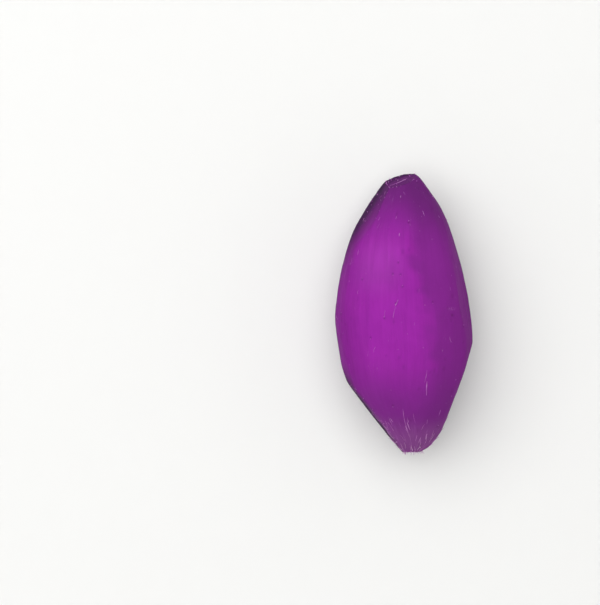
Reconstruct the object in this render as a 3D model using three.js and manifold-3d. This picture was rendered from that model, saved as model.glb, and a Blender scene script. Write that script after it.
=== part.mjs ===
// A baked purple sweet potato, peeled with a knife and lying on the flattest of its cut faces.
// Units are millimetres. +Z is up, +Y runs along the root to its stem end, and the origin is on
// the resting face, under the middle of the root's bounding box.
//
// The root is one solid. An oval root is swept along Y between four rails, its peeled skin is a
// ring of nearly flat strips that meet at long ridges, and a knife then takes off flats and ends.

import * as THREE from "three";
import { mergeVertices } from "three/addons/utils/BufferGeometryUtils.js";
import Module from "manifold-3d";

const wasm = await Module();
wasm.setup();

// Driving dimensions of the finished root.
const LENGTH = 118;
const WIDTH = 58.5;
const HEIGHT = 50;

// The grown root is a little longer than the peeled one, and a little lower than the table.
const HALF_LENGTH = 0.525 * LENGTH;
const HALF_WIDTH = WIDTH / 2;
const HALF_HEIGHT = HEIGHT / 2;

// Places along the root, from the thin root tip at -1 to the stem end at 1.
const STATIONS = [-1, -0.9, -0.7, -0.45, -0.15, 0.15, 0.45, 0.7, 0.9, 1];

// How far each rail stands from the root's middle at those places, as shares of the half sizes.
const RIGHT_RAIL = rail([0.12, 0.42, 0.74, 0.955, 1.0, 0.92, 0.765, 0.57, 0.3, 0.05]);
const LEFT_RAIL = rail([0.1, -0.22, -0.56, -0.835, -1.0, -0.965, -0.815, -0.58, -0.26, 0.05]);
const TOP_RAIL = rail([-0.3, 0.1, 0.58, 0.9, 1.02, 0.99, 0.84, 0.57, 0.18, -0.12]);
const BOTTOM_RAIL = rail([-0.36, -0.58, -0.84, -1.02, -1.05, -1.04, -0.98, -0.8, -0.44, -0.18]);

// Ridges between the peeled strips, by their angle round the root in degrees at its tip, its
// middle and its stem end. 0 is +X and 90 is straight up.
const RIDGES = [
  { tip: 7, middle: 2, stem: -3 },
  { tip: 30, middle: 36, stem: 42 },
  { tip: 67, middle: 72, stem: 92 },
  { tip: 117, middle: 121, stem: 125 },
  { tip: 157, middle: 151, stem: 147 },
  { tip: 178, middle: 182, stem: 187 },
  { tip: 212, middle: 216, stem: 221 },
  { tip: 258, middle: 252, stem: 246 },
  { tip: 287, middle: 291, stem: 295 },
  { tip: 321, middle: 328, stem: 335 },
];
const CROWN = 0.4; // 0 is a flat strip between two ridges, 1 a strip as round as the oval
const STEPS_PER_STRIP = 5;
const STEPS_ALONG = 44;

// Flats left by the knife: a point on each, in mm, and the way it faces.
const KNIFE_CUTS = {
  rootFlankRight: { at: [29.9, -13, 22], facing: [0.93, -0.35, 0.08] },
  rootFlankLeft: { at: [-21, -33, 20], facing: [-0.77, -0.63, 0.08] },
  leftSide: { at: [-28.1, 7, 24], facing: [-0.99, 0.12, 0.08] },
  leftBelly: { at: [-28.1, -9, 23], facing: [-0.99, -0.14, 0.08] },
  stemFlankLeft: { at: [-18.8, 37.2, 24], facing: [-0.8, 0.54, 0.27] },
  stemFlankRight: { at: [10.1, 52.4, 24], facing: [0.8, 0.58, 0.12] },
  stemCrown: { at: [-1, 22, 46.7], facing: [0.33, 0.19, 0.93] },
  stemShoulder: { at: [-4, 27.5, 45.8], facing: [-0.05, 0.44, 0.9] },
  stemEnd: { at: [2, 57.6, 22], facing: [-0.24, 0.91, 0.34] },
  rootCornerRight: { at: [13.3, -54.2, 17], facing: [0.77, -0.64, 0.1] },
  rootEndRight: { at: [9, -58, 17], facing: [0.46, -0.88, 0.1] },
  rootEnd: { at: [3, -59, 17], facing: [0.04, -0.99, 0.1] },
  restingFace: { at: [0, 0, 0], facing: [0, 0, -1] },
};
const BLOCK = 4 * LENGTH; // side of the block that each cut removes, far larger than the root

// A smooth curve through one value at each of the stations.
function rail(values) {
  const curve = new THREE.CubicInterpolant(STATIONS, values, 1);
  return (t) => curve.evaluate(t)[0];
}

// The root's oval at place t, as its middle and its reach each way.
function ovalAt(t) {
  const right = RIGHT_RAIL(t) * HALF_WIDTH;
  const left = LEFT_RAIL(t) * HALF_WIDTH;
  const top = HALF_HEIGHT * (1 + TOP_RAIL(t));
  const bottom = HALF_HEIGHT * (1 + BOTTOM_RAIL(t));
  return {
    x: (right + left) / 2,
    z: (top + bottom) / 2,
    halfWidth: (right - left) / 2,
    halfHeight: (top - bottom) / 2,
  };
}

function onOval(oval, angle) {
  return new THREE.Vector2(
    oval.x + oval.halfWidth * Math.cos(angle),
    oval.z + oval.halfHeight * Math.sin(angle),
  );
}

// The angle of a ridge at place t, on a parabola through its three angles.
function ridgeAngle(index, t) {
  const turns = Math.floor(index / RIDGES.length);
  const { tip, middle, stem } = RIDGES[index % RIDGES.length];
  const wander = ((stem - tip) / 2) * t;
  const bow = ((stem + tip) / 2 - middle) * t * t;
  return THREE.MathUtils.degToRad(middle + wander + bow + 360 * turns);
}

// The point of the peeled skin at place t, a share of a full turn round the root.
function onSkin(t, turn) {
  const strip = Math.floor(turn * RIDGES.length);
  const across = turn * RIDGES.length - strip;
  const oval = ovalAt(t);
  const from = ridgeAngle(strip, t);
  const to = ridgeAngle(strip + 1, t);
  const flat = onOval(oval, from).lerp(onOval(oval, to), across);
  const round = onOval(oval, THREE.MathUtils.lerp(from, to, across));
  return flat.lerp(round, CROWN);
}

// The grown root before the knife: a lathe turned about Y, with each ring moved onto the skin.
function grownRoot() {
  const profile = [];
  for (let i = 0; i <= STEPS_ALONG; i += 1) {
    const a = (Math.PI * i) / STEPS_ALONG;
    profile.push(new THREE.Vector2(Math.sin(a), Math.cos(a)));
  }
  const steps = RIDGES.length * STEPS_PER_STRIP;
  const lathe = new THREE.LatheGeometry(profile, steps);
  const position = lathe.getAttribute("position");
  for (let column = 0; column <= steps; column += 1) {
    for (let row = 0; row <= STEPS_ALONG; row += 1) {
      const vertex = column * profile.length + row;
      const t = position.getY(vertex);
      const tip = row === 0 || row === STEPS_ALONG;
      const oval = ovalAt(t);
      const skin = tip ? new THREE.Vector2(oval.x, oval.z) : onSkin(t, (column % steps) / steps);
      position.setXYZ(vertex, skin.x, t * HALF_LENGTH, skin.y);
    }
  }
  return lathe;
}

// A block whose face lies on a cut and which fills everything in front of it.
function blockAhead({ at, facing }) {
  const block = new THREE.BoxGeometry(BLOCK, BLOCK, BLOCK);
  const normal = new THREE.Vector3(...facing).normalize();
  const turn = new THREE.Quaternion().setFromUnitVectors(new THREE.Vector3(0, 0, 1), normal);
  block.translate(0, 0, BLOCK / 2);
  block.applyQuaternion(turn);
  return block.translate(...at);
}

function solidOf(geometry) {
  const bare = geometry.clone();
  bare.deleteAttribute("normal");
  bare.deleteAttribute("uv");
  const merged = mergeVertices(bare, 1e-3);
  return new wasm.Manifold(
    new wasm.Mesh({
      numProp: 3,
      vertProperties: merged.getAttribute("position").array,
      triVerts: new Uint32Array(merged.index.array),
    }),
  );
}

function geometryOf(solid) {
  const mesh = solid.getMesh();
  const geometry = new THREE.BufferGeometry();
  geometry.setAttribute("position", new THREE.BufferAttribute(mesh.vertProperties, 3));
  geometry.setIndex(new THREE.BufferAttribute(mesh.triVerts, 1));
  geometry.computeVertexNormals();
  return geometry;
}

function peeledRoot() {
  let solid = solidOf(grownRoot());
  for (const cut of Object.values(KNIFE_CUTS)) {
    solid = solid.subtract(solidOf(blockAhead(cut)));
  }
  return geometryOf(solid);
}

const bakedFlesh = new THREE.MeshStandardMaterial({
  name: "baked_flesh",
  color: new THREE.Color().setRGB(0.55, 0.17, 0.6, THREE.SRGBColorSpace),
  roughness: 0.5,
  metalness: 0,
});

const sweetPotato = new THREE.Mesh(peeledRoot(), bakedFlesh);
sweetPotato.name = "sweet_potato";

const part = new THREE.Group();
part.add(sweetPotato);

export default part;
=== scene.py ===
"""A peeled and baked purple sweet potato on a pale table, seen from straight above.

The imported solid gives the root's size, its place and its knife-cut faces. The flesh is a ball
wrapped onto that solid, with its ridges softened, and then worked as a cook's knife and the oven
leave it: shallow peeling cuts, lengthwise grooves, rootlet scars, pores and frayed ends. The
loose fibres that stand out of it are a second piece.
"""

import math
import random
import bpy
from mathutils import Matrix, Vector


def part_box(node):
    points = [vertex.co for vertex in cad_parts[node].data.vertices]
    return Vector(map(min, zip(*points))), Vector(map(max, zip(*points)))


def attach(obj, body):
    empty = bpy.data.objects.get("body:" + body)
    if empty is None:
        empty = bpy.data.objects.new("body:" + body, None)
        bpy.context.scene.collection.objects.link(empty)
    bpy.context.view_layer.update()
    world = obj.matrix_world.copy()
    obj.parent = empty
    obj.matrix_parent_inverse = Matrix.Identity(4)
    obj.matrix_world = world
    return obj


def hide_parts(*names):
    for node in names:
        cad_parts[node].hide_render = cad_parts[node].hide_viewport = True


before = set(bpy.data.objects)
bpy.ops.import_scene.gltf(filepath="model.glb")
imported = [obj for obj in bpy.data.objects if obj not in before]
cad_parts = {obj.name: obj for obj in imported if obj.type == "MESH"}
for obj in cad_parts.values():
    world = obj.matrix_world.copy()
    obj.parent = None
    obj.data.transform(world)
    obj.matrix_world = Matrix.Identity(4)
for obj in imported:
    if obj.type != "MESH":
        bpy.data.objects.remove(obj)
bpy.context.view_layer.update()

from types import SimpleNamespace

import bpy
import numpy as np
from mathutils import Quaternion, Vector, noise
from mathutils.bvhtree import BVHTree

# Lengths are in metres, so a length in mm is a number times this.
MM = 0.001

SOLID = "sweet_potato"
BODY = "root"
LOW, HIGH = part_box(SOLID)
MIDDLE = (LOW + HIGH) / 2
SIZE = HIGH - LOW
STEM_Y = HIGH.y
TIP_Y = LOW.y
CAMERA_AT = Vector((-43.5, 4.4, 700)) * MM

# The grain is laid out on a straight rod, as thick as the root's middle or as one of its ends.
GRAIN_RADIUS = SIZE.x / 2
TIGHT_RADIUS = 8 * MM

rng = random.Random(20)


# ---------------------------------------------------------------------------------------------
# Small tools
# ---------------------------------------------------------------------------------------------

def deselect():
    """Leaves nothing selected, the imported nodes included."""
    bpy.ops.object.select_all(action="DESELECT")


def pick(piece):
    """Makes piece the only selected object, and the active one."""
    deselect()
    piece.select_set(True)
    bpy.context.view_layer.objects.active = piece


def name_piece(piece, name):
    """Names an object and its data alike."""
    piece.name = name
    piece.data.name = name
    return piece


def apply_modifier(piece, kind, name, **settings):
    """Adds one modifier, sets it up and applies it."""
    pick(piece)
    modifier = piece.modifiers.new(name, kind)
    for key, value in settings.items():
        setattr(modifier, key, value)
    bpy.ops.object.modifier_apply(modifier=modifier.name)


def points_of(piece):
    """The piece's vertices as rows of x, y and z."""
    flat = np.zeros(len(piece.data.vertices) * 3)
    piece.data.vertices.foreach_get("co", flat)
    return flat.reshape(-1, 3)


def normals_of(piece):
    """The piece's vertex normals as rows of x, y and z."""
    flat = np.zeros(len(piece.data.vertices) * 3)
    piece.data.vertices.foreach_get("normal", flat)
    return flat.reshape(-1, 3)


def move_points(piece, points):
    """Puts the piece's vertices at these rows of x, y and z."""
    piece.data.vertices.foreach_set("co", points.ravel())
    piece.data.update()


def store(piece, name, values):
    """Keeps one number, or one vector, for each vertex under a name that a material reads."""
    kind, field = ("FLOAT", "value") if values.ndim == 1 else ("FLOAT_VECTOR", "vector")
    attribute = piece.data.attributes.new(name, kind, "POINT")
    attribute.data.foreach_set(field, values.astype(np.float32).ravel())


def step(value, start, end):
    """A smooth step from 0 at start to 1 at end. Works on numbers and on arrays."""
    t = np.clip((value - start) / (end - start), 0, 1)
    return t * t * (3 - 2 * t)


def noise_over(places, size, seed):
    """Smooth noise from about -1 to 1 at each place, with lumps about size across."""
    shift = Vector((7.3, 3.1, 5.7)) * seed
    return np.array([noise.noise(Vector(place) / size + shift) for place in places])


# ---------------------------------------------------------------------------------------------
# Where things are on the root
# ---------------------------------------------------------------------------------------------

class Spine:
    """The middle line of the root, from its thin tip to its stem end."""

    SLICES = 40

    def __init__(self, points):
        edges = np.linspace(TIP_Y, STEM_Y, self.SLICES + 1)
        self.y = (edges[:-1] + edges[1:]) / 2
        middles = []
        for low, high in zip(edges[:-1], edges[1:]):
            ring = points[(points[:, 1] >= low) & (points[:, 1] <= high)]
            middles.append((ring.min(0) + ring.max(0)) / 2)
        self.x, _, self.z = np.array(middles).T

    def at(self, y):
        """The middle of the root at y, as x and z. Works on numbers and on arrays."""
        return np.interp(y, self.y, self.x), np.interp(y, self.y, self.z)

    def middle(self, y):
        """The point of the middle line at y."""
        x, z = self.at(y)
        return Vector((x, y, z))

    def angle_of(self, place):
        """One place's angle round the root."""
        x, z = self.at(place.y)
        return math.atan2(place.z - z, place.x - x)

    def turn(self, points):
        """Each point's angle round the root: 0 is +X and a quarter turn is straight up."""
        x, z = self.at(points[:, 1])
        return np.arctan2(points[:, 2] - z, points[:, 0] - x)

    def reach(self, points):
        """How far each point is from the middle line."""
        x, z = self.at(points[:, 1])
        return np.hypot(points[:, 0] - x, points[:, 2] - z)

    def grain(self, points, radius=GRAIN_RADIUS):
        """Each point as it would lie on a straight round root, whose fibres run along y."""
        turn = self.turn(points)
        return np.stack([radius * np.cos(turn), points[:, 1], radius * np.sin(turn)], axis=1)


def skin_at(tree, spine, turn, y):
    """The place on the flesh at this angle and y, and its facing. Both are None past an end."""
    outward = Vector((math.cos(turn), 0, math.sin(turn)))
    place, facing, _, _ = tree.ray_cast(spine.middle(y), outward)
    return place, facing


def seen_from_above(tree, x, y):
    """The place on the flesh that hides x and y, in mm, from the camera, and the way it faces."""
    toward = Vector((x * MM, y * MM, MIDDLE.z)) - CAMERA_AT
    place, facing, _, _ = tree.ray_cast(CAMERA_AT, toward)
    return place, facing


def stretched(grain, across, along):
    """Grain places scaled so that noise of size 1 has lumps this far across and along."""
    return grain / np.array([across, along, across])


# The faces that the knife left: the way each faces, its stretch along the root, where -1 is the
# tip and 1 the stem end, and over how much of that it fades out at both ends of the stretch.
KNIFE_FACES = {
    "stem_end": {"facing": (-0.24, 0.91, 0.34), "stretch": (0.76, 1.10), "fade": 0.05},
    "stem_flank": {"facing": (-0.80, 0.54, 0.27), "stretch": (0.42, 1.10), "fade": 0.20},
    "tip_flank": {"facing": (-0.77, -0.63, 0.08), "stretch": (-1.10, -0.40), "fade": 0.12},
    "tip_end": {"facing": (0.04, -0.99, 0.10), "stretch": (-1.10, -0.85), "fade": 0.05},
}

# How closely a point faces the same way as a knife face, at the face's rim and well on it.
OFF_FACE = 0.88
ON_FACE = 0.97


def on_knife_face(name, points, normals):
    """1 on the named knife face, 0 off it, and in between along its rim."""
    facing = Vector(KNIFE_FACES[name]["facing"]).normalized()
    start, end = KNIFE_FACES[name]["stretch"]
    fade = KNIFE_FACES[name]["fade"]
    along = (points[:, 1] - MIDDLE.y) / (SIZE.y / 2)
    inside = step(along, start - fade, start + fade) * (1 - step(along, end - fade, end + fade))
    return step(normals @ np.array(facing), OFF_FACE, ON_FACE) * inside


# ---------------------------------------------------------------------------------------------
# Flesh
# ---------------------------------------------------------------------------------------------

VOXEL = 0.56 * MM
END_REGION = 8 * MM

# The ball's half sizes as shares of the root's sizes, so that it lies just outside the root.
BALL_ROUND = 0.56
BALL_LONG = 0.53

# The smoothing that rounds the ridges, and how much of it the knife faces and the ends are spared.
RIDGE_PASSES = 150
EDGE_PASSES = 8
KNIFE_SPARED = 0.75
END_SPARED = 0.25


def wrapped_ball():
    """A ball round the root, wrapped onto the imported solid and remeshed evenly."""
    deselect()
    bpy.ops.mesh.primitive_uv_sphere_add(
        segments=96, ring_count=72, radius=1, location=MIDDLE, rotation=(math.pi / 2, 0, 0)
    )
    ball = name_piece(bpy.context.object, "sweet_potato_flesh")
    ball.scale = (SIZE.x * BALL_ROUND, SIZE.z * BALL_ROUND, SIZE.y * BALL_LONG)
    bpy.ops.object.transform_apply(location=True, rotation=True, scale=True)
    onto = {"target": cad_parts[SOLID], "wrap_method": "NEAREST_SURFACEPOINT"}
    apply_modifier(ball, "SHRINKWRAP", "wrap", **onto)
    apply_modifier(ball, "REMESH", "even faces", mode="VOXEL", voxel_size=VOXEL)
    apply_modifier(ball, "SHRINKWRAP", "fit", **onto)
    return ball


def finer_ends(flesh):
    """Splits the faces of both ends in four, for the frayed fibres there."""
    pick(flesh)
    bpy.ops.object.mode_set(mode="EDIT")
    bpy.ops.mesh.select_mode(type="FACE")
    bpy.ops.mesh.select_all(action="DESELECT")
    bpy.ops.object.mode_set(mode="OBJECT")
    for face in flesh.data.polygons:
        y = face.center.y
        face.select = y < TIP_Y + END_REGION or y > STEM_Y - END_REGION
    bpy.ops.object.mode_set(mode="EDIT")
    bpy.ops.mesh.subdivide(number_cuts=1)
    bpy.ops.object.mode_set(mode="OBJECT")


def soften(flesh):
    """Rounds the ridges between the peeled strips, but keeps the edges of the big knife cuts."""
    points = points_of(flesh)
    normals = normals_of(flesh)
    kept = sum(on_knife_face(name, points, normals) for name in KNIFE_FACES)
    ends = step(np.abs(points[:, 1] - MIDDLE.y), SIZE.y * 0.40, SIZE.y * 0.47)
    loose = flesh.vertex_groups.new(name="loose")
    for index, weight in enumerate(np.clip(1 - KNIFE_SPARED * kept - END_SPARED * ends, 0, 1)):
        loose.add([index], weight, "REPLACE")
    apply_modifier(
        flesh, "SMOOTH", "soft ridges", factor=0.5, iterations=RIDGE_PASSES, vertex_group="loose"
    )
    apply_modifier(flesh, "SMOOTH", "soft edges", factor=0.5, iterations=EDGE_PASSES)
    flesh.vertex_groups.clear()


# Short strokes of the knife: how many, over which share of the half length, how far each tilts and
# rolls in degrees, how deep it goes, and how softly its edges run out.
SHAVINGS = 46
SHAVED_STRETCH = (-0.82, 0.86)
SHAVING_TILT = 2.5
SHAVING_ROLL = 7
SHAVING_DEPTH = (0.12, 0.42)
SHAVING_EDGE = 0.16 * MM


def shave(points, tree, spine):
    """Takes shallow flats off the skin, one for each short stroke of the knife."""
    for _ in range(SHAVINGS):
        y = rng.uniform(*SHAVED_STRETCH) * SIZE.y / 2 + MIDDLE.y
        place, facing = skin_at(tree, spine, rng.uniform(0, math.tau), y)
        across = facing.cross(Vector((0, 1, 0))).normalized()
        tilt = Quaternion(across, math.radians(rng.uniform(-SHAVING_TILT, SHAVING_TILT)))
        roll = Quaternion((0, 1, 0), math.radians(rng.uniform(-SHAVING_ROLL, SHAVING_ROLL)))
        facing = np.array(roll @ (tilt @ facing))
        depth = rng.uniform(*SHAVING_DEPTH) * MM
        over = (points - np.array(place)) @ facing + depth
        points = points - np.outer((over + np.hypot(over, SHAVING_EDGE)) / 2, facing)
    return points


# Scars where thin rootlets grew: the angle round the root in degrees, the place along it in
# shares of its half length, and the scar's width across the grain in mm.
ROOTLET_SCARS = [
    (44, 0.01, 3.2),
    (12, -0.40, 2.4),
    (175, -0.12, 3.0),
    (-28, 0.31, 3.4),
    (-64, -0.22, 2.8),
    (-101, 0.46, 3.0),
    (-148, 0.12, 2.4),
    (-127, -0.51, 3.4),
]

# The hole and the smear of a scar: how far apart they are along y, the width of each as a share of
# the scar's, and the length of each along y.
SCAR_GAP = 2.6 * MM
HOLE_SHARE = 0.20
HOLE_LENGTH = 0.55 * MM
SMEAR_SHARE = 0.50
SMEAR_LENGTH = 0.50 * MM

# Pores all over: how many, and from what to what they are wide across the grain and long along it,
# in mm.
PORES = 110
PORE_WIDTH = (0.35, 0.6)
PORE_LENGTH = (0.45, 1.2)

# The round pit beside a crumb.
PIT_WIDTH = 0.42 * MM

# Crumbs of torn flesh on the upper side: x and y as the camera sees them at the root's middle
# height, and size, all in mm.
CRUMBS = [
    (2.6, 57.3, 0.34),
    (4.2, 56.0, 0.20),
    (5.4, 55.3, 0.24),
    (-5.2, 55.6, 0.24),
    (-3.3, 56.1, 0.18),
    (-10.9, 49.6, 0.26),
    (-13.3, 46.9, 0.28),
    (-13.5, 45.3, 0.22),
    (-15.1, 42.4, 0.18),
    (-16.1, 38.5, 0.20),
    (2.1, 38.6, 0.22),
    (12.0, 48.9, 0.20),
    (-2.3, 21.8, 0.16),
    (-1.3, 15.7, 0.13),
    (-0.5, 11.6, 0.14),
    (-3.4, 3.5, 0.34),
    (-8.2, -1.6, 0.20),
    (-13.9, -10.9, 0.12),
    (-26.2, 0.2, 0.13),
    (-4.6, 15.9, 0.15),
    (-17.4, 14.7, 0.17),
    (12.2, 4.1, 0.17),
    (25.1, -5.0, 0.17),
    (-4.5, -39.4, 0.20),
    (14.4, -47.0, 0.20),
    (-2.9, -54.0, 0.26),
    (3.6, -57.3, 0.28),
    (6.7, -56.3, 0.26),
]


def dents(points, spine, spots):
    """How deep each point lies in a dent, from 0 to 1, over spots of turn, y, width and length."""
    depth = np.zeros(len(points))
    turns = spine.turn(points)
    reach = spine.reach(points)
    for turn, y, width, length in spots:
        off = np.angle(np.exp(1j * (turns - turn))) * reach
        gone = (off / width) ** 2 + ((points[:, 1] - y) / length) ** 2
        depth = np.maximum(depth, np.exp(-gone))
    return depth


def scar_spots():
    """Each rootlet scar as two lists: the small hole, and the pale smear on its stem side."""
    holes = []
    smears = []
    for turn, along, width in ROOTLET_SCARS:
        angle = math.radians(turn)
        y = along * SIZE.y / 2 + MIDDLE.y
        holes.append((angle, y - SCAR_GAP / 2, width * HOLE_SHARE * MM, HOLE_LENGTH))
        smears.append((angle, y + SCAR_GAP / 2, width * SMEAR_SHARE * MM, SMEAR_LENGTH))
    return holes, smears


def pore_spots():
    """Small dents all over the root, a little longer along the grain than across it."""
    return [
        (
            rng.uniform(0, math.tau),
            rng.uniform(-0.95, 0.95) * SIZE.y / 2 + MIDDLE.y,
            rng.uniform(*PORE_WIDTH) * MM,
            rng.uniform(*PORE_LENGTH) * MM,
        )
        for _ in range(PORES)
    ]


def pit_spots(tree, spine):
    """A dark pit beside each crumb, by turns on its stem side and its tip side."""
    spots = []
    for index, (x, y, size) in enumerate(CRUMBS):
        place, _ = seen_from_above(tree, x, y)
        side = 1 if index % 2 else -1
        apart = side * (PIT_WIDTH + size * MM)
        spots.append((spine.angle_of(place), place.y + apart, PIT_WIDTH, PIT_WIDTH))
    return spots


# How high each part of the relief stands, or how deep it goes.
SWELL = 0.20 * MM
LUMPS = 0.08 * MM
GROOVES = 0.08 * MM
CHATTER = 0.045 * MM
TIP_FRAY = 0.14 * MM
STEM_FRAY = 0.08 * MM
TIP_TEAR = 0.24 * MM
STEM_TEAR = 0.14 * MM
HOLE_DEPTH = 0.28 * MM
SMEAR_HEIGHT = 0.07 * MM
PORE_DEPTH = 0.10 * MM
PIT_DEPTH = 0.12 * MM

# How much less stain and painted shade the cuts at the tip's end and the stem's end get than the
# flanks' cuts.
TIP_CUT_SPARED = 0.65
STEM_CUT_SPARED = 0.40

# How dark a pore is when a scar's hole is 1.
PORE_SHADE = 0.45


def work(flesh, spine):
    """Gives the flesh its relief, and stores on it what its material reads."""
    tree = BVHTree.FromObject(flesh, bpy.context.evaluated_depsgraph_get())
    points = shave(points_of(flesh), tree, spine)
    move_points(flesh, points)
    normals = normals_of(flesh)

    cuts = {name: on_knife_face(name, points, normals) for name in KNIFE_FACES}
    cut = np.clip(sum(cuts.values()), 0, 1)
    # Stain and painted shade on the knife faces, less on the cuts at both ends.
    stain_and_shade = np.clip(cut - TIP_CUT_SPARED * cuts["tip_end"] - STEM_CUT_SPARED * cuts["stem_end"], 0, 1)
    grain = spine.grain(points)
    tight_grain = spine.grain(points, TIGHT_RADIUS)
    near_tip = 1 - step(points[:, 1] - TIP_Y, 2 * MM, 16 * MM)
    near_stem = 1 - step(STEM_Y - points[:, 1], 1 * MM, 9 * MM)

    swell = noise_over(points, 17 * MM, seed=1) * SWELL
    lumps = noise_over(points, 5 * MM, seed=2) * LUMPS
    grooves = noise_over(stretched(grain, 1.9 * MM, 24 * MM), 1, seed=3) * GROOVES
    chatter = noise_over(stretched(grain, 4 * MM, 2.6 * MM), 1, seed=4) * CHATTER
    strands = noise_over(stretched(tight_grain, 0.9 * MM, 8 * MM), 1, seed=5)
    torn = noise_over(points, 0.75 * MM, seed=6)
    fray = (near_tip * TIP_FRAY + near_stem * STEM_FRAY) * strands
    rough_cut = (cuts["tip_end"] * TIP_TEAR + cuts["stem_end"] * STEM_TEAR) * torn

    holes, smears = scar_spots()
    hole = dents(points, spine, holes)
    smear = dents(points, spine, smears)
    pore = dents(points, spine, pore_spots())
    pit = dents(points, spine, pit_spots(tree, spine))
    sunk = hole * HOLE_DEPTH - smear * SMEAR_HEIGHT + pore * PORE_DEPTH + pit * PIT_DEPTH

    height = swell + lumps + (grooves + chatter) * (1 - cut) + fray + rough_cut - sunk
    points = points + normals * height[:, None]
    points[:, 2] = np.maximum(points[:, 2], LOW.z)
    move_points(flesh, points)

    store(flesh, "grain", grain)
    store(flesh, "tight_grain", tight_grain)
    store(flesh, "stain_and_shade", stain_and_shade)
    store(flesh, "dark_spots", np.clip(hole + pore * PORE_SHADE + pit, 0, 1))
    store(flesh, "pale_smears", smear)
    return cuts


# ---------------------------------------------------------------------------------------------
# Fibres
# ---------------------------------------------------------------------------------------------

STRAND_STEPS = 12
STUB_STEPS = 5


class Fibres:
    """Fine strands drawn on one curve, which is made a mesh at the end."""

    def __init__(self, tree, spine):
        self.tree = tree
        self.spine = spine
        self.curve = bpy.data.curves.new("fibre_lines", "CURVE")
        self.curve.dimensions = "3D"
        self.curve.bevel_depth = 1
        self.curve.bevel_resolution = 1
        self.curve.use_fill_caps = True

    def draw(self, places, radii):
        """One strand through these places, as thick as these radii."""
        line = self.curve.splines.new("POLY")
        line.points.add(len(places) - 1)
        for point, place, radius in zip(line.points, places, radii):
            point.co = (*place, 1)
            point.radius = radius

    def lie(self, turn, y, length, thick, heading=0.0, curl=0.2, lift=0.0):
        """A strand that lies on the flesh from this angle and y, and may lift off at its end."""
        places = []
        radii = []
        stride = length / STRAND_STEPS
        for i in range(STRAND_STEPS + 1):
            place, facing = skin_at(self.tree, self.spine, turn, y)
            if place is None:
                break
            done = i / STRAND_STEPS
            swell = math.sin(math.pi * min(1, 0.08 + done * 0.9))
            sink = 0.9 * (1 - step(done, 0, 0.15)) + 0.9 * step(done, 0.85, 1) * (lift == 0)
            places.append(place + facing * (thick * (0.35 - sink) + lift * done ** 3))
            radii.append(thick * (0.25 + 0.75 * swell))
            reach = max((place - self.spine.middle(y)).length, 2 * MM)
            y += stride * math.cos(heading)
            turn += stride * math.sin(heading) / reach
            heading += rng.gauss(0, curl)
        if len(places) > 3:
            self.draw(places, radii)

    def stub(self, place, facing, length, thick):
        """A short broken end that stands out of a cut, bent a little to one side."""
        bend = Vector([rng.uniform(-1, 1) for _ in range(3)])
        places = []
        radii = []
        for i in range(STUB_STEPS + 1):
            done = i / STUB_STEPS
            out = facing * (length * (done * 1.5 - 0.5)) + bend * (length * 0.35 * done * done)
            places.append(place + out)
            radii.append(thick * (1 - 0.55 * done))
        self.draw(places, radii)

    def made(self, name):
        """The strands as one mesh piece, with each strand closed at its ends."""
        deselect()
        piece = bpy.data.objects.new(name, self.curve)
        bpy.context.scene.collection.objects.link(piece)
        pick(piece)
        bpy.ops.object.convert(target="MESH")
        bpy.ops.object.mode_set(mode="EDIT")
        bpy.ops.mesh.select_all(action="SELECT")
        bpy.ops.mesh.remove_doubles(threshold=0.002 * MM)
        bpy.ops.mesh.normals_make_consistent(inside=False)
        bpy.ops.object.mode_set(mode="OBJECT")
        bpy.ops.object.shade_smooth()
        return name_piece(bpy.context.object, name)


# Fibres that the eye catches on the upper side: x and y as for the crumbs, length and thickness,
# all in mm, and the heading from the stem end's way in degrees, where 180 runs to the tip and less
# leans to the left.
NOTED_FIBRES = [
    (-2.3, 5.6, 2.9, 0.15, 155),
    (-3.5, 2.8, 5.2, 0.06, 170),
    (-7.8, 1.4, 3.2, 0.05, 170),
    (9.8, -23.6, 6.0, 0.08, 180),
    (9.8, -28.4, 6.4, 0.20, 180),
    (-0.4, -40.0, 8.5, 0.09, 176),
    (1.4, -45.6, 4.0, 0.16, 184),
    (0.8, -47.2, 3.4, 0.20, 178),
    (9.8, -50.6, 2.8, 0.18, 170),
    (-5.6, -44.2, 1.8, 0.12, 190),
    (15.5, -40.6, 2.6, 0.07, 176),
    (-6.4, 53.2, 7.2, 0.11, 295),
    (-1.8, 33.6, 1.5, 0.10, 180),
    (-3.0, 40.6, 1.3, 0.12, 180),
]

TIP_FIBRES = 90
STEM_FIBRES = 26
BODY_FIBRES = 22


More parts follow.
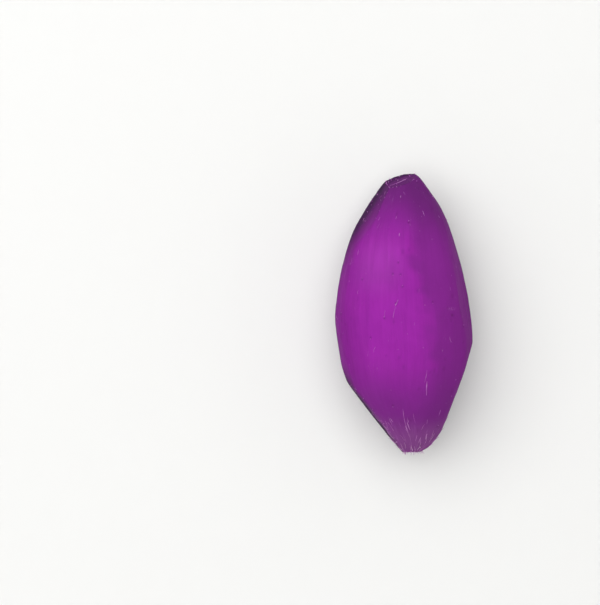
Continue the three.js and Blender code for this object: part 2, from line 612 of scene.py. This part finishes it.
def spread_fibres(fibres):
    """Fibres all over the root: many toward the tip, fewer at the stem end and few between."""
    for x, y, length, thick, heading in NOTED_FIBRES:
        place, _ = seen_from_above(fibres.tree, x, y)
        start = fibres.spine.angle_of(place), place.y
        fibres.lie(*start, length * MM, thick * MM, math.radians(heading), curl=0.04)
    for x, y, size in CRUMBS:
        place, facing = seen_from_above(fibres.tree, x, y)
        fibres.stub(place, facing, size * 1.5 * MM, size * MM)
    for _ in range(TIP_FIBRES):
        inward = 14 * MM * rng.random() ** 1.6
        fibres.lie(
            rng.uniform(0, math.tau),
            TIP_Y + 1.0 * MM + inward,
            rng.uniform(1.0, 5.0) * MM,
            rng.uniform(0.04, 0.10) * MM,
            math.radians(rng.gauss(0, 7)),
            curl=0.07,
            lift=rng.choice([0, 0, 0.3, 0.6]) * MM,
        )
    for _ in range(STEM_FIBRES):
        fibres.lie(
            rng.uniform(0, math.tau),
            STEM_Y - rng.uniform(8, 20) * MM,
            rng.uniform(1.0, 3.0) * MM,
            rng.uniform(0.04, 0.08) * MM,
            math.radians(180 + rng.gauss(0, 12)),
            curl=0.10,
            lift=rng.choice([0, 0, 0.25]) * MM,
        )
    for _ in range(BODY_FIBRES):
        fibres.lie(
            rng.uniform(0, math.tau),
            rng.uniform(-0.7, 0.7) * SIZE.y / 2 + MIDDLE.y,
            rng.uniform(0.8, 3.2) * MM,
            rng.uniform(0.03, 0.06) * MM,
            math.radians(rng.choice([0, 180]) + rng.gauss(0, 14)),
            curl=0.07,
        )


# Broken fibre ends on each knife face: how many stand on the face and how many along its rim,
# and the longest and the thickest of them in mm.
BROKEN_ENDS = {
    "tip_end": {"face": 22, "rim": 12, "length": 1.3, "thick": 0.17},
    "stem_end": {"face": 12, "rim": 16, "length": 0.6, "thick": 0.16},
    "stem_flank": {"face": 4, "rim": 26, "length": 0.5, "thick": 0.16},
    "tip_flank": {"face": 6, "rim": 20, "length": 0.6, "thick": 0.12},
}


def break_fibres(fibres, flesh, cuts):
    """Stubs of broken fibres on the knife faces and along their rims."""
    points = points_of(flesh)
    normals = normals_of(flesh)
    along = (points[:, 1] - MIDDLE.y) / (SIZE.y / 2)
    for name, ends in BROKEN_ENDS.items():
        start, end = KNIFE_FACES[name]["stretch"]
        fade = KNIFE_FACES[name]["fade"]
        inside = (along > start + fade) & (along < end - fade)
        on_face = np.flatnonzero(cuts[name] > 0.8)
        on_rim = np.flatnonzero((cuts[name] > 0.25) & (cuts[name] < 0.75) & inside)
        chosen = [rng.choice(on_face) for _ in range(ends["face"])]
        chosen += [rng.choice(on_rim) for _ in range(ends["rim"])]
        for index in chosen:
            spread = Vector([rng.gauss(0, 0.35) for _ in range(3)])
            fibres.stub(
                Vector(points[index]),
                (Vector(normals[index]) + spread).normalized(),
                ends["length"] * rng.uniform(0.3, 1) * MM,
                ends["thick"] * rng.uniform(0.5, 1) * MM,
            )


# ---------------------------------------------------------------------------------------------
# Shader nodes
# ---------------------------------------------------------------------------------------------

class Wire:
    """A shader socket that Python's operators work on. Each operator adds one Math node."""

    def __init__(self, finish, socket):
        self.finish = finish
        self.socket = socket

    def math(self, operation, *values):
        """One Math node on these values, as a new wire."""
        return self.finish.add("ShaderNodeMath", {"operation": operation}, dict(enumerate(values)))

    def __add__(self, other):
        return self.math("ADD", self, other)

    def __radd__(self, other):
        return self.math("ADD", other, self)

    def __sub__(self, other):
        return self.math("SUBTRACT", self, other)

    def __rsub__(self, other):
        return self.math("SUBTRACT", other, self)

    def __mul__(self, other):
        return self.math("MULTIPLY", self, other)

    def __rmul__(self, other):
        return self.math("MULTIPLY", other, self)

    def __abs__(self):
        return self.math("ABSOLUTE", self)


class Finish:
    """A material under construction on its Principled shader."""

    def __init__(self, name):
        self.material = bpy.data.materials.new(name)
        self.material.use_nodes = True
        self.tree = self.material.node_tree
        self.shader = self.tree.nodes["Principled BSDF"]

    def add(self, kind, settings=None, inputs=None, output=0):
        """Adds a node, sets it up, feeds its sockets, and returns one of its outputs."""
        node = self.tree.nodes.new(kind)
        for key, value in (settings or {}).items():
            setattr(node, key, value)
        for key, value in (inputs or {}).items():
            self.feed(node.inputs[key], value)
        return Wire(self, node.outputs[output])

    def feed(self, socket, value):
        """Links a wire to a socket, or sets the socket to a plain value."""
        if isinstance(value, Wire):
            self.tree.links.new(value.socket, socket)
        else:
            socket.default_value = value

    def surface(self, **sockets):
        """Feeds the Principled shader. An underscore in a name stands for a space."""
        for name, value in sockets.items():
            self.feed(self.shader.inputs[name.replace("_", " ")], value)

    def place(self):
        """Each point's place on the object."""
        return self.add("ShaderNodeTexCoord", output="Object")

    def stored(self, name):
        """A number that is stored on the piece."""
        return self.add("ShaderNodeAttribute", {"attribute_name": name}, output="Fac")

    def stored_place(self, name):
        """A vector that is stored on the piece."""
        return self.add("ShaderNodeAttribute", {"attribute_name": name}, output="Vector")

    def scaled(self, place, across, along=None):
        """A place divided by a lump size, which may differ along the root."""
        size = (1 / across, 1 / (along or across), 1 / across)
        return self.add("ShaderNodeVectorMath", {"operation": "MULTIPLY"}, {0: place, 1: size})

    def noise(self, place, detail=0.0, roughness=0.5, warp=0.0):
        """Noise from 0 to 1 over a scaled place."""
        values = {
            "Vector": place, "Scale": 1, "Detail": detail, "Roughness": roughness, "Distortion": warp
        }
        return self.add("ShaderNodeTexNoise", None, values)

    def cells(self, place, output):
        """Cells over a scaled place: the distance to the nearest middle, or a random colour."""
        return self.add("ShaderNodeTexVoronoi", None, {"Vector": place, "Scale": 1}, output)

    def ramp(self, value, start, end):
        """A smooth step of a wire from 0 at start to 1 at end."""
        return self.add(
            "ShaderNodeMapRange",
            {"interpolation_type": "SMOOTHSTEP"},
            {"Value": value, "From Min": start, "From Max": end},
        )

    def mix(self, share, first, second):
        """The first colour where share is 0, the second where it is 1."""
        return self.add("ShaderNodeMix", {"data_type": "RGBA"}, {0: share, 6: first, 7: second}, 2)

    def shade(self, colour, amount):
        """A colour made lighter or darker by a wire."""
        return self.add(
            "ShaderNodeVectorMath", {"operation": "SCALE"}, {0: colour, "Scale": amount}
        )

    def distance(self, place, point):
        """How far a place is from a fixed point."""
        values = {0: place, 1: point}
        return self.add("ShaderNodeVectorMath", {"operation": "DISTANCE"}, values, "Value")

    def split(self, value, output):
        """One of the three parts of a place or a colour: X, Y or Z."""
        return self.add("ShaderNodeSeparateXYZ", None, {0: value}, output)

    def bump(self, height_mm):
        """A normal for a relief whose height is given in mm."""
        return self.add("ShaderNodeBump", None, {"Height": height_mm, "Distance": MM})


# Colours of the cooked flesh, and of the painted shade on it, as linear red, green and blue.
MAGENTA_FLESH = (0.302, 0.020, 0.338, 1)
VIOLET_FLESH = (0.272, 0.018, 0.308, 1)
# Painted shade for the right flank and for the tip's half.
SHADE_DULL_VIOLET = (0.166, 0.019, 0.196, 1)
# Painted shade for the low sides.
LOW_SHADE_PLUM = (0.045, 0.006, 0.062, 1)
DARK_CUT = (0.022, 0.004, 0.032, 1)
DUSKY_END = (0.220, 0.058, 0.235, 1)
# Painted shade for the stem end.
STEM_SHADE_PURPLE = (0.118, 0.014, 0.141, 1)
PALE_FIBRE = (0.52, 0.21, 0.53, 1)
BRIGHT_FIBRE = (0.62, 0.38, 0.60, 1)
STAINED_FIBRE = (0.36, 0.075, 0.39, 1)
BRUISE = (0.070, 0.008, 0.085, 1)

# The middle of a painted sheen, a paler patch on the flesh, on top and toward the stem end.
PAINTED_SHEEN_AT = (-12 * MM, 20 * MM, 46 * MM)


def flesh_patterns(made):
    """What varies over the flesh, as wires that its colour, its gloss and its relief share."""
    place = made.place()
    grain = made.stored_place("grain")
    tight_grain = made.stored_place("tight_grain")
    y = made.split(place, "Y")
    blotch = made.noise(made.scaled(place, 13 * MM), detail=2)
    uneven = blotch - 0.5
    return SimpleNamespace(
        place=place,
        grain=grain,
        y=y,
        aside=made.split(grain, "X") * (1 / GRAIN_RADIUS),
        rise=made.split(grain, "Z") * (1 / GRAIN_RADIUS),
        blotch=blotch,
        uneven=uneven,
        patch=made.noise(made.scaled(place, 6 * MM), detail=1),
        strip=made.noise(made.scaled(grain, 2.4 * MM, 34 * MM), detail=3),
        thread=made.noise(made.scaled(grain, 0.55 * MM, 9 * MM), detail=2),
        streak=made.noise(made.scaled(tight_grain, 0.7 * MM, 10 * MM), detail=3, roughness=0.6),
        fine=made.noise(made.scaled(place, 0.55 * MM), detail=2),
        tip=1 - made.ramp(y - TIP_Y + uneven * 8 * MM, 4 * MM, 20 * MM),
        stem=1 - made.ramp(STEM_Y - y + uneven * 12 * MM, 6 * MM, 36 * MM),
    )


def flesh_colour(made, flesh):
    """The flesh's slow changes: painted shade on its sides, right flank and low sides and toward
    both ends, a faint painted sheen near the crown, and a greyer, dusky tip.
    """
    # Painted shade: 1 on the sides below the crown, where the colour is darkened.
    painted_side_shade = 1 - made.ramp(flesh.rise + flesh.uneven * 0.2, 0.35, 0.98)
    # Painted shade low on the sides, where little light reaches.
    painted_low_shade = 1 - made.ramp(flesh.rise + flesh.uneven * 0.5, -0.40, 0.42)
    # Painted shade on the right flank, the side away from the light; its wavy edge moves further
    # left toward the stem.
    lean = made.ramp(flesh.y, 6 * MM, 24 * MM) * 0.20
    turned = flesh.aside + lean + flesh.uneven * 0.7 + (flesh.patch - 0.5) * 0.1
    painted_right_shade = made.ramp(turned, 0.12, 0.52)
    # Painted shade toward the tip, where the root slopes down away from the light.
    painted_tip_shade = 1 - made.ramp(flesh.y - TIP_Y + flesh.uneven * 14 * MM, 16 * MM, 45 * MM)
    # A round patch of painted sheen on the crown.
    painted_sheen = 1 - made.ramp(made.distance(flesh.place, PAINTED_SHEEN_AT), 3 * MM, 17 * MM)
    pale_streak = flesh.tip * made.ramp(flesh.streak, 0.56, 0.74)

    colour = made.mix(made.ramp(flesh.blotch, 0.35, 0.68), MAGENTA_FLESH, VIOLET_FLESH)
    # Painted sheen: a faint mix toward the pale fibre colour near the crown.
    colour = made.mix(painted_sheen * 0.03, colour, BRIGHT_FIBRE)
    along_grain = 0.79 + flesh.strip * 0.22 + flesh.thread * 0.20
    # The grain's lighter and darker streaks, less the painted shade on the sides.
    colour = made.shade(colour, along_grain - painted_side_shade * 0.30)
    # Painted shade on the right flank.
    colour = made.mix(painted_right_shade * 0.62, colour, SHADE_DULL_VIOLET)
    # Painted shade toward the stem end, where the root slopes down.
    colour = made.mix(flesh.stem * 0.95, colour, STEM_SHADE_PURPLE)
    # Painted shade toward the tip.
    colour = made.mix(painted_tip_shade * 0.85, colour, SHADE_DULL_VIOLET)
    colour = made.mix(flesh.tip * 0.90, colour, DUSKY_END)
    colour = made.mix(pale_streak * 0.4, colour, PALE_FIBRE)
    # The painted shade low on the sides goes on last, over everything else in this colour.
    return made.mix(painted_low_shade * 0.76, colour, LOW_SHADE_PLUM)


def knife_stain_and_shade(made, flesh):
    """The dark on the knife faces, partly a stain and partly painted shade, which thins out toward
    the top away from the stem.
    """
    thinned = made.ramp(flesh.rise, 0.0, 0.75) * (1 - flesh.stem * 0.5)
    return made.stored("stain_and_shade") * (1 - thinned) * (0.70 + flesh.thread * 0.3)


def hairs(made, flesh):
    """Thin pale hairs that wander along the grain, in patches."""
    wander = made.noise(made.scaled(flesh.grain, 1.3 * MM, 16 * MM), warp=0.6)
    patches = made.ramp(flesh.patch + flesh.tip * 0.25 + flesh.stem * 0.08, 0.60, 0.75)
    return (1 - made.ramp(abs(wander - 0.5), 0.0, 0.010)) * patches


def specks(made, flesh):
    """Small pale dots of different widths, in some cells of a pattern along the grain."""
    cells = made.scaled(flesh.grain, 2.3 * MM, 3.4 * MM)
    drawn = made.cells(cells, "Color")
    width = made.split(drawn, "Y") * 0.12 + 0.03
    dot = 1 - made.ramp(made.cells(cells, "Distance"), 0.0, width)
    return dot * made.ramp(made.split(drawn, "X"), 0.6, 0.65)


def flesh_finish():
    """Cooked purple flesh: fibrous along the root and dusky at its tip, with painted shade low on
    its sides.
    """
    made = Finish("baked purple flesh")
    flesh = flesh_patterns(made)
    hair = hairs(made, flesh)
    speck = specks(made, flesh)
    smear = made.stored("pale_smears") * made.ramp(flesh.fine, 0.40, 0.62)

    colour = flesh_colour(made, flesh)
    # The knife faces go dark: partly stain, partly painted shade.
    colour = made.mix(knife_stain_and_shade(made, flesh), colour, DARK_CUT)
    colour = made.mix(hair * 0.32, colour, PALE_FIBRE)
    colour = made.mix(speck * 0.5, colour, PALE_FIBRE)
    colour = made.mix(smear * 0.30, colour, PALE_FIBRE)
    colour = made.mix(made.stored("dark_spots") * 0.55, colour, BRUISE)

    fibrous = flesh.thread * 0.080 + flesh.streak * flesh.tip * 0.12 + flesh.fine * 0.040
    made.surface(
        Base_Color=colour,
        Roughness=0.62 + flesh.uneven * 0.20 + flesh.tip * 0.10 - hair * 0.08,
        Normal=made.bump(fibrous + hair * 0.05 - speck * 0.03),
        Specular_IOR_Level=0.03,
        Subsurface_Weight=0.12,
        Subsurface_Radius=(1.0, 0.25, 0.9),
        Subsurface_Scale=1.2 * MM,
    )
    return made.material


def fibre_finish():
    """Pale, dry plant fibre, whitest at the root's tip and tinted by the flesh elsewhere."""
    made = Finish("pale root fibre")
    place = made.place()
    stain = made.noise(made.scaled(place, 3 * MM), detail=1)
    tip = 1 - made.ramp(made.split(place, "Y") - TIP_Y, 0, 14 * MM)
    colour = made.mix(made.ramp(stain, 0.35, 0.65), PALE_FIBRE, STAINED_FIBRE)
    colour = made.mix(tip * made.ramp(stain, 0.40, 0.60), colour, BRIGHT_FIBRE)
    made.surface(Base_Color=colour, Roughness=0.55 + stain * 0.1, Specular_IOR_Level=0.3)
    return made.material


def table_finish():
    """A plain pale table with a soft, matt face."""
    made = Finish("plain pale table")
    made.surface(Base_Color=(0.82, 0.82, 0.81, 1), Roughness=0.7, Specular_IOR_Level=0.2)
    return made.material


# ---------------------------------------------------------------------------------------------
# Table, light and camera
# ---------------------------------------------------------------------------------------------

# The table, and the wall that it curves up into in even steps, in metres.
TABLE_RADIUS = 1.3
WALL_RADIUS = 2.4
WALL_HEIGHT = 2.0
COVE_STEPS = 12


def raise_lid(height):
    """Extrudes the selected lid of the table's wall straight up."""
    bpy.ops.mesh.extrude_region_move(TRANSFORM_OT_translate={"value": (0, 0, height)})


def set_table():
    """A round table that curves up into a plain wall far behind the root, all the way round."""
    deselect()
    bpy.ops.mesh.primitive_circle_add(vertices=96, radius=TABLE_RADIUS, fill_type="NGON")
    table = name_piece(bpy.context.object, "table_and_backdrop")
    bpy.ops.object.mode_set(mode="EDIT")
    bpy.ops.mesh.select_all(action="SELECT")
    cove = WALL_RADIUS - TABLE_RADIUS
    radius = TABLE_RADIUS
    height = 0
    for number in range(1, COVE_STEPS + 1):
        angle = math.pi / 2 * number / COVE_STEPS
        wider = TABLE_RADIUS + cove * math.sin(angle)
        higher = cove * (1 - math.cos(angle))
        raise_lid(higher - height)
        bpy.ops.transform.resize(value=(wider / radius, wider / radius, 1))
        radius = wider
        height = higher
    raise_lid(WALL_HEIGHT - height)
    bpy.ops.mesh.delete(type="ONLY_FACE")
    bpy.ops.object.mode_set(mode="OBJECT")
    bpy.ops.object.shade_smooth()
    table.data.materials.append(table_finish())


def hang_light(name, place, size, watts):
    """A square soft light that points at the root."""
    data = bpy.data.lights.new(name, "AREA")
    data.size = size
    data.energy = watts
    light = bpy.data.objects.new(name, data)
    bpy.context.scene.collection.objects.link(light)
    light.location = place
    light.rotation_euler = (MIDDLE - light.location).to_track_quat("-Z", "Y").to_euler()


def light_room():
    """One big soft light above and to the left, and a dim even room."""
    hang_light("soft_overhead", place=Vector((-0.55, 0.55, 2.1)), size=3.2, watts=67)
    world = bpy.data.worlds.new("room")
    world.use_nodes = True
    background = world.node_tree.nodes["Background"]
    background.inputs["Color"].default_value = (1, 1, 1, 1)
    background.inputs["Strength"].default_value = 0.18
    bpy.context.scene.world = world
    bpy.context.scene.view_settings.view_transform = "Standard"


def set_camera():
    """A camera high above the table, looking straight down, with the root right of its middle."""
    data = bpy.data.cameras.new("camera")
    data.lens = 95.8
    data.sensor_width = 36
    camera = bpy.data.objects.new("camera", data)
    bpy.context.scene.collection.objects.link(camera)
    camera.location = CAMERA_AT
    bpy.context.scene.camera = camera


# ---------------------------------------------------------------------------------------------
# The root
# ---------------------------------------------------------------------------------------------

flesh = wrapped_ball()
finer_ends(flesh)
soften(flesh)
spine = Spine(points_of(flesh))
cuts = work(flesh, spine)
pick(flesh)
bpy.ops.object.shade_smooth()
flesh.data.materials.append(flesh_finish())
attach(flesh, BODY)
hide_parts(SOLID)

skin = BVHTree.FromObject(flesh, bpy.context.evaluated_depsgraph_get())
strands = Fibres(skin, spine)
spread_fibres(strands)
break_fibres(strands, flesh, cuts)
fibres = strands.made("loose_fibres")
fibres.data.materials.append(fibre_finish())
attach(fibres, BODY)

set_table()
light_room()
set_camera()
